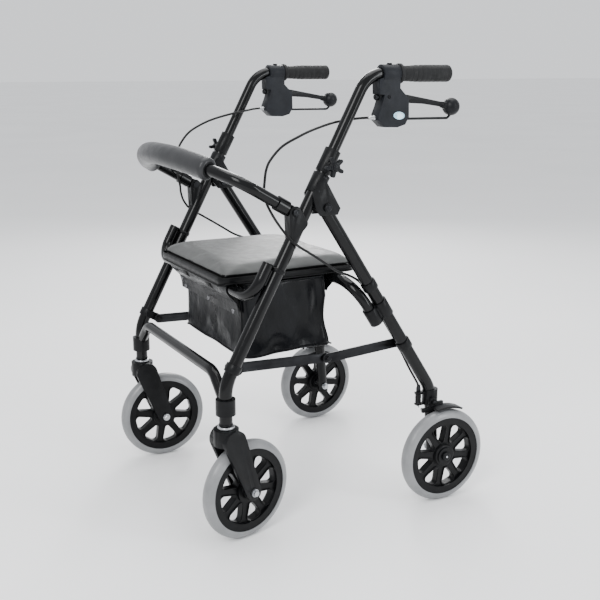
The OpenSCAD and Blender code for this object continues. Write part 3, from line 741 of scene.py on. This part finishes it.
def bag_point(x, y, z, share, half, front, rear):
    """Pulls a point of the bag in and out so that the cloth hangs in folds."""
    depth = (y - front) / (rear - front)
    middle = Vector((0, (front + rear) / 2))
    away = Vector((x, y)) - middle
    away.normalize()
    side_wall = min(1, max(0, (abs(x) - half + 30) / 30))
    sag = 2 * side_wall * math.sin(math.pi * min(1, max(0, depth))) * share ** 3
    pinch = 13 * side_wall * math.exp(-((depth - 0.86) / 0.1) ** 2) * math.sin(math.pi * share)
    belly = 5 * side_wall * math.sin(math.pi * depth) * math.sin(math.pi * share)
    crease = noise.noise(Vector((x * 0.016, y * 0.022, z * 0.011))) * 5.5
    crease += noise.noise(Vector((x * 0.05 + 7, y * 0.05, z * 0.022))) * 2.6
    fold = 2.2 * math.sin(y * 0.09 + z * 0.028) * side_wall * (1 - 0.4 * share)
    hem = min(1, (1 - share) * 5) * min(1, share * 7 + 0.15)
    move = (crease + fold - 2.5) * hem + belly - pinch
    lift = 3.5 * noise.noise(Vector((x * 0.014, y * 0.02, 3))) * (1 - share)
    lift -= 6 * side_wall * math.exp(-((depth - 0.1) / 0.22) ** 2) * (1 - share) ** 2
    px = max(-half - 1.5, min(half + 1.5, x + away.x * move))
    py = max(front - 5, min(rear + 1, y + away.y * move))
    return at(px, py, z - sag + lift)


def add_bag():
    levels = 26
    outer = [bag_outline(i / levels, 0) for i in range(levels + 1)]
    inner = [bag_outline(i / levels, BAG_WALL) for i in range(levels, 0, -1)]
    floor_rings = []
    for shrink in (0.92, 0.75, 0.5, 0.25):
        centre = sum(outer[0], Vector()) / len(outer[0])
        ring = []
        for p in outer[0]:
            q = centre + (p - centre) * shrink
            bump = 2.5 * noise.noise(Vector((q.x * 18, q.y * 22, 5))) - 1.0
            ring.append(Vector((q.x, q.y, outer[0][0].z + bump * MM)))
        floor_rings.append(ring)
    inner_floor = [[p + Vector((0, 0, 0.0022)) for p in ring] for ring in floor_rings]
    bag = add_piece("bag_shell", loft(floor_rings[::-1] + outer + inner + inner_floor),
                    None, BAG)
    for face in bag.data.polygons:
        face.use_smooth = True
    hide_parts("bag")
    ride_and_squash(bag)
    hem = [p + Vector((0, 0, 0.0004)) for p in outer[-1]]
    ride_and_squash(add_piece("bag_hem", sweep(hem, 0.0021, 8, closed=True), None,
                              BAG))
    base = [p + Vector((0, 0, 0.0012)) for p in outer[0]]
    ride_and_squash(add_piece("bag_base_piping", sweep(base, 0.0018, 8, closed=True), None,
                              BAG))
    for name, index in BAG_SEAMS:
        seam = [outer[i][index] for i in range(1, levels + 1)]
        ride_and_squash(add_piece("bag_seam." + name, sweep(seam, 0.0017, 8), None,
                                  BAG))


def ride_and_squash(obj):
    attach(obj, "front_frame")
    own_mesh(obj)


def strap(name, width, middle, wrap, tail, body):
    """A wide flap that hangs from a tube: round it and down both ways to the bag's wall."""
    points = []
    for k in range(17):
        a = math.radians(wrap[0] + (wrap[1] - wrap[0]) * k / 16)
        points.append((middle[0] + FLAP_R * math.cos(a), middle[1] + FLAP_R * math.sin(a)))
    path = [*tail[0], *points, *tail[1]]
    rings = []
    for i, (y, z) in enumerate(path):
        a = path[max(i - 1, 0)]
        b = path[min(i + 1, len(path) - 1)]
        along = Vector((b[0] - a[0], b[1] - a[1])).normalized()
        across = Vector((-along.y, along.x)) * 0.75
        half = width / 2
        rings.append([at(-half, y - across.x, z - across.y), at(half, y - across.x, z - across.y),
                      at(half, y + across.x, z + across.y), at(-half, y + across.x, z + across.y)])
    obj = add_piece(name, loft(rings), None, BAG, smooth=False)
    round_edges(obj, 0.0005, 2, 50)
    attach(obj, body)


def add_bag_trim():
    strap("bag_front_flap", 2 * BAG_HALF - 6, FRONT_TUBE, (215, -20),
          ([(71.5, 424), (70.5, 436), (66, 452), (52, 466)], [(74.5, 466), (76.5, 455)]),
          "front_frame")
    # The snaps take the lighter metal, a painted highlight.
    for x, y, z, lean in SNAPS:
        add_piece(f"bag_snap.{x}.{z}",
                  lathe([(-2.5, 5.6), (0.2, 5.6), (1.4, 4.8), (1.8, 3.2), (1.2, 2.2), (1.0, 0.2)],
                        at(x, y, z), Vector((0, -1, lean)), 28),
                  "front_frame", SNAP_GLINT_STEEL)
    strap("bag_rear_flap", 2 * BAG_HALF - 24, REAR_TUBE, (-35, 200),
          ([(272.5, 452), (276, 458), (286.5, 468)], [(267.2, 475)]), "rear_frame")


# ---------------------------------------------------------------- grips and brakes

GRIP_Z = 885
GRIP_START = 369
BALL = (498, 821)
BADGE = (366, 807)
BRAKE_Y = 441


def add_grip(hand, s):
    profile = [(0, 12.5), (0, 18.2), (1.2, 19), (5.6, 19), (7, 17.6), (7.4, 14.8), (9.5, 14.2),
               (13, 14.3), (17, 14.7)]
    first, last, ribs = 18.0, 110.0, 9
    for k in range(ribs):
        start = first + (last - first) * k / ribs
        pitch = (last - first) / ribs
        wide = 16.3 - 1.5 * max(0, 1 - k / 2.5)
        profile += [(start, wide - 0.3), (start + 1.6, wide), (start + pitch - 2.6, wide),
                    (start + pitch - 1.0, wide - 0.3)]
    profile += [(110.6, 16.5), (115, 16.5), (117.6, 15.8), (119.3, 14.0), (120, 11.0),
                (119.4, 8.0), (118.8, 0.4)]
    grip = add_piece(hand + "_grip_sleeve",
                     lathe(profile, at(s * LEG_X, GRIP_START, GRIP_Z), (0, 1, 0), 48),
                     hand + "_handle", GRIP)
    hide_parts(hand + "_grip")


def add_housing_trim(hand, s):
    body = hand + "_handle"
    face = s * (LEG_X + 13)
    out = (s, 0, 0)
    oval = [(12.6 * math.cos(a), 7.2 * math.sin(a)) for a in
            (2 * math.pi * k / 40 for k in range(40))]
    tilt = math.radians(-4)
    rings = []
    for lift, shrink in ((-0.4, 1.0), (0.7, 1.0), (1.0, 0.94), (0.8, 0.86), (0.8, 0.3)):
        ring = []
        for y, z in oval:
            u = (y * math.cos(tilt) - z * math.sin(tilt)) * shrink
            v = (y * math.sin(tilt) + z * math.cos(tilt)) * shrink
            ring.append(at(face + s * lift, BADGE[0] + u, BADGE[1] + v))
        rings.append(ring)
    add_piece(hand + "_badge", loft(rings), body, ENAMEL)
    screw = [(-1, 3.4), (1.1, 3.4), (1.7, 2.7), (1.8, 1.5), (0.8, 1.4), (0.8, 0.3)]
    for i, (y, z) in enumerate(((350, 885), (343, 842))):
        add_piece(f"{hand}_housing_screw.{i}", lathe(screw, at(face, y, z), out, 24), body,
                  DARK_STEEL)
    add_piece(hand + "_tab_screw",
              lathe([(-2, 6.2), (4.0, 6.2), (5.8, 4.8), (6.2, 1.8), (5, 0.3)],
                    at(s * LEG_X, 324, 842), (0, -1, -0.1), 20),
              body, DARK_STEEL)
    add_piece(hand + "_cable_ferrule",
              lathe([(0, 3.8), (1.5, 4.2), (5, 4.2), (5.6, 3.4), (11, 3.4), (12, 2.8),
                     (16, 2.7), (16, 0.3)], at(s * LEG_X, 321, 804), (0, -1, -0.03), 24),
              body, STEEL)
    add_piece(hand + "_clamp_bolt",
              lathe([(0, 5.2), (2.6, 5.2), (3.4, 4.2), (3.5, 2.2), (1.8, 2.0), (1.8, 0.3)],
                    at(s * LEG_X, 350, 901.2), (0, 0, 1), 6), body, DARK_STEEL)


def add_lever_knob(hand, s):
    radius, steps = 17.4, 22
    profile = []
    for k in range(steps + 1):
        a = math.pi * k / steps
        groove = 0.5 if abs(k - steps / 2) < 0.6 else 0.0
        profile.append((-radius * math.cos(a), max(radius * math.sin(a) - groove, 0.3)))
    knob = add_piece(hand + "_ball", lathe(profile, at(s * LEG_X, *BALL), (1, 0, 0), 44),
                     hand + "_lever", KNOB)
    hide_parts(hand + "_lever_knob")
    add_piece(hand + "_ball_neck",
              lathe([(12, 8.2), (15, 8.2), (19, 6.6), (25, 5.8), (25, 0.4)],
                    at(s * LEG_X, *BALL), (0, -0.98, 0.18), 24),
              hand + "_lever", LEVER)


CABLE_R = 0.00245
UPPER_CABLE = [(319.6, 238, 804), (306, 237, 804), (289, 231, 803), (272, 224, 801),
    (252, 221, 798), (230, 222, 794), (191, 227, 784), (161, 229, 773), (128, 226, 756),
    (106, 223, 733), (98, 221, 716), (95, 220, 697), (94, 219, 675), (97, 221, 655),
    (103, 228, 637), (109, 240, 620), (119, 252, 601), (131, 258, 585)]
LOWER_CABLE = [(131, 258, 585), (147, 259, 573), (168, 257, 560), (192, 252, 545),
    (215, 246, 530), (240, 238, 514), (274, 228, 500), (303, 218, 483), (328, 210, 456),
    (352, 206, 420), (380, 204, 378), (402, 203, 345), (420, 206, 312), (428, 216, 288),
    (435, 228, 267), (439.5, 236, 253), (441, 238, 244.2)]


def add_cable(hand, s):
    for part, route, start, end in (
            ("upper", UPPER_CABLE, (hand + "_handle", (300, 803)), ("front_frame", (150, 770))),
            ("lower", LOWER_CABLE, ("front_frame", (168, 560)), ("rear_frame", (352, 420)))):
        points = [at(s * x, y, z) for y, x, z in route]
        cable = add_piece(f"{hand}_cable_{part}", sweep(smooth_path(points, 6), CABLE_R, 12),
                          None, SHEATH)
        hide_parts(hand + "_brake_cable")
        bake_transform(cable)


def add_brake_end(hand, s):
    x, y = s * LEG_X, BRAKE_Y
    bellows = [(0, 1.8), (0, 6.6)]
    for k in range(7):
        bellows += [(0.6 + 3 * k, 6.8), (1.6 + 3 * k, 5.0), (2.6 + 3 * k, 5.0)]
    bellows += [(21, 6.4), (21, 1.8)]
    boot = add_piece(hand + "_bellows", lathe(bellows, at(x, y, 209), (0, 0, 1), 24),
                     "rear_frame", SHEATH)
    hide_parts("brake_springs")
    add_piece(hand + "_brake_ferrule",
              lathe([(0, 3.0), (0, 4.9), (8, 4.9), (9.4, 4.0), (14, 3.6), (14, 2.6)],
                    at(x, y, 236), (0, 0, 1), 24), "rear_frame", DARK_STEEL)
    wire = [at(x, y, 232), at(x, y, 208), at(s * 243, y - 0.5, 201)]
    add_piece(hand + "_brake_wire", sweep(smooth_path(wire, 6), 0.0011, 8), "rear_frame",
              STEEL)
    add_piece(hand + "_wire_clamp",
              lathe([(-4, 0.4), (-4, 3.6), (4, 3.6), (4, 0.4)], at(s * 256, BRAKE_Y - 0.5, 200.5),
                    (s, 0, 0), 6), hand + "_shoe", STEEL)


# ---------------------------------------------------------------- wheels

SPOKES = 8
SPOKE_PHASE = 0.28
RIM_HALF = 6.0
HUB_REACH = 14.0


def arc(cx, cy, r, first, last, steps):
    return [(cx + r * math.cos(a), cy + r * math.sin(a)) for a in
            (math.radians(first + (last - first) * k / steps) for k in range(steps + 1))]


def window_outline(grow):
    """Outline of a gap between two spokes, grown outwards by a little."""
    return (arc(59, 8, 8 + grow, 0, 113, 7) + arc(35, 0, 5 + grow, 113, 247, 7)
            + arc(59, -8, 8 + grow, 247, 360, 7))


def wheel_frame(node, s, front):
    """A wheel's centre, its axle pointing outwards, and its rearward direction."""
    centre = box_middle(node)
    if not front:
        return centre, Vector((s, 0, 0)), Vector((0, 1, 0))
    stem = Vector((s * LEG_X * MM, STEM_Y, centre.z))
    trail = (centre - stem).normalized()
    return centre, Vector((trail.y, -trail.x, 0)) * s, trail


def add_wheel_trim(hand, s, place):
    node = f"{hand}_{place}_rim"
    body = f"{hand}_{place}_wheel"
    centre, axle, back = wheel_frame(node, s, place == "front")
    up = Vector((0, 0, 1))

    def spot(u, v, w):
        return centre + MM * (back * u + up * v + axle * w)

    lips = []
    for k in range(SPOKES):
        turn = 2 * math.pi * (k + SPOKE_PHASE) / SPOKES
        for side in (-1, 1):
            rings = []
            for grow, w in ((0.1, 0), (0.1, 2.2), (0.5, 2.7), (1.6, 2.7), (2.1, 2.2), (2.1, -0.4)):
                ring = []
                for u, v in window_outline(grow):
                    ring.append(spot(u * math.cos(turn) - v * math.sin(turn),
                                     u * math.sin(turn) + v * math.cos(turn),
                                     side * (RIM_HALF + w)))
                rings.append(ring)
            lips.append(loft(rings, capped=False))
    add_piece(node + "_ribs", joined(lips), body, RIM)
    caps = []
    for side in (-1, 1):
        if place == "front":
            profile = [(RIM_HALF - 1, 21.5), (RIM_HALF + 2.0, 21.5), (RIM_HALF + 3.0, 20.0),
                       (RIM_HALF + 2.4, 17.8)]
        else:
            profile = [(RIM_HALF - 1, 24.0), (HUB_REACH - 4, 24.0), (HUB_REACH - 2.6, 22.4),
                       (HUB_REACH - 2.6, 19.0)]
        caps.append(lathe(profile, centre, axle * side, 40))
    add_piece(node + "_hub_rings", joined(caps), body, RIM)
    seams = []
    for side in (-1, 1):
        for radius, w in ((85.6, 13.2), (97.2, 7.6)):
            ring = [spot(radius * math.cos(a), radius * math.sin(a), side * w)
                    for a in (2 * math.pi * k / 96 for k in range(96))]
            seams.append(sweep(ring, 0.0009, 6, closed=True))
    add_piece(node + "_tyre_lines", joined(seams), body, TYRE)


def hex_bolt(reach, size):
    return [(0, size + 1.6), (0.9, size + 1.6), (1.0, size), (reach, size), (reach + 0.8, size - 1),
            (reach + 0.9, 0.3)]


def add_axle_bolts(hand, s):
    centre, axle, _ = wheel_frame(f"{hand}_front_rim", s, True)
    for side, label in ((1, "outer"), (-1, "inner")):
        add_piece(f"{hand}_front_axle_bolt.{label}",
                  lathe(hex_bolt(4.5, 6.4), centre + axle * side * 30.4 * MM, axle * side, 6),
                  f"{hand}_caster", STEEL, smooth=False)
    rear, out, _ = wheel_frame(f"{hand}_rear_rim", s, False)
    _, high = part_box("rear_axles")
    tip = Vector((s * high.x, rear.y, rear.z))
    add_piece(f"{hand}_rear_axle_cap",
              lathe([(-3, 9.6), (-0.6, 9.6), (0.3, 8.6), (0.6, 6.0), (0.6, 0.3)], tip, out, 32),
              "rear_frame", FITTING)
    add_piece(f"{hand}_rear_axle_tip",
              lathe([(0.4, 2.4), (1.0, 2.4), (1.5, 1.6), (1.6, 0.3)], tip, out, 16),
              "rear_frame", STEEL)
    add_piece(f"{hand}_rear_axle_nut",
              lathe(hex_bolt(5, 6.2), at(s * (LEG_X - 16.8), 481, 100), (-s, 0, 0), 6),
              "rear_frame", STEEL, smooth=False)


# ---------------------------------------------------------------- brackets and fasteners

HINGE = (207.8, 642)
KNUCKLE = (233, 333)
FRONT_LUG = (34, 341)
SHOE_PIVOT = (462, 216)
STUB_LENGTH = 71
REAR_FOOT_Y = 482.3
CLIP_ALONG = 236
DOME = [(-0.5, 6.4), (0.4, 6.4), (1.8, 5.4), (2.8, 3.4), (3.0, 0.3)]


def add_dome(name, place, direction, body, scale=1.0, sides=24):
    profile = [(a * scale, r * scale) for a, r in DOME]
    add_piece(name, lathe(profile, place, direction, sides), body, DARK_STEEL)


def add_fasteners(hand, s):
    add_dome(f"{hand}_hinge_dome", at(s * (LEG_X + 21.4), *HINGE), (s, 0, 0), "front_frame", 1.1)
    add_dome(f"{hand}_backrest_dome", at(s * 256, *BACK_PIVOT), (s, 0, 0), "front_frame", 0.95)
    add_dome(f"{hand}_knuckle_dome", at(s * 222, *KNUCKLE), (s, 0, 0), "rear_brace", 0.8)
    add_dome(f"{hand}_knuckle_rivet", at(s * 203, *KNUCKLE), (-s, 0, 0), "front_brace", 0.8)
    add_dome(f"{hand}_front_lug_dome", at(s * 226, *FRONT_LUG), (s, 0, 0), "front_frame", 0.9)
    add_dome(f"{hand}_shoe_pivot_dome", at(s * (LEG_X + 30.6), *SHOE_PIVOT), (s, 0, 0),
             "rear_frame", 0.6)
    for i, along in enumerate((401, 429)):
        add_dome(f"{hand}_sleeve_screw.{i}", on_leg(s * (LEG_X + 16.2), along), (s, 0, 0),
                 "front_frame", 0.5)
    add_piece(f"{hand}_star_cap",
              lathe([(0, 6.2), (1.0, 6.2), (2.2, 5.2), (2.6, 3.2), (2.6, 0.3)],
                    on_leg(s * 275, 452), (s, 0, 0), 24),
              f"{hand}_knob", KNOB)
    foot = at(s * LEG_X, 0, 243)
    add_piece(f"{hand}_stem_bearing",
              lathe([(-6.8, 6.2), (-6.8, 15.5), (-5.8, 16.4), (-2.2, 16.4), (-1.2, 15.4),
                     (-0.6, 6.2)], foot, (0, 0, 1), 36),
              f"{hand}_caster", STEEL)
    add_piece(f"{hand}_leg_foot_cap",
              lathe([(0, 12.0), (0, 13.6), (3.2, 13.6), (4.2, 12.9), (4.2, 12.0)], foot,
                    (0, 0, 1), 36), "front_frame", FITTING)


def add_tube_plugs(hand, s):
    end = at(s * LEG_X, *FRONT_TUBE) + LEG_WAY * STUB_LENGTH * MM
    add_piece(f"{hand}_seat_tube_plug",
              lathe([(-1, 9.3), (0, 10.6), (1.6, 10.6), (2.6, 9.6), (2.9, 6.0), (2.9, 0.3)], end,
                    LEG_WAY, 32), "front_frame", FITTING)
    foot_low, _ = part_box(f"{hand}_rear_leg")
    add_piece(f"{hand}_rear_leg_cap",
              lathe([(0.2, 12.6), (0.2, 13.2), (6, 13.2), (7, 12.75)],
                    Vector((s * LEG_X * MM, STEM_Y + REAR_FOOT_Y * MM, foot_low.z)), (0, 0, 1), 32),
              "rear_frame", FITTING)


def add_cable_clip(hand, s):
    """The loop round the front leg that holds the cable."""
    add_piece(f"{hand}_leg_clip",
              lathe([(-4, 12.8), (-4, 14.2), (4, 14.2), (4, 12.8)],
                    on_leg(s * LEG_X, CLIP_ALONG), LEG_WAY, 32),
              "front_frame", FITTING)


SOFT_EDGES = {
    "hinge_bracket": 0.0012, "backrest_bracket": 0.0014, "height_collar": 0.0010,
    "caster_fork": 0.0016, "brake_housing": 0.0016, "brake_lever": 0.0012,
    "star_knob": 0.0012, "brake_shoe": 0.0006,
}


def add_softened_nodes():
    for hand, _ in SIDES:
        for kind, width in SOFT_EDGES.items():
            soften(f"{hand}_{kind}", width)
    for node, width in (("front_braces", 0.0007), ("rear_braces", 0.0007),
                        ("front_brace_lugs", 0.0008), ("rear_brace_lugs", 0.0008),
                        ("rear_seat_brackets", 0.0012), ("stop_collars", 0.001),
                        ("brake_brackets", 0.0005), ("seat_board", 0.0018)):
        soften(node, width)


add_camera()
add_studio()
paint_frame()
add_softened_nodes()
add_cushion()
add_foam()
add_bag()
add_bag_trim()
for hand, s in SIDES:
    add_grip(hand, s)
    add_housing_trim(hand, s)
    add_lever_knob(hand, s)
    add_cable(hand, s)
    add_brake_end(hand, s)
    for place in ("front", "rear"):
        add_wheel_trim(hand, s, place)
    add_axle_bolts(hand, s)
    add_fasteners(hand, s)
    add_tube_plugs(hand, s)
    add_cable_clip(hand, s)
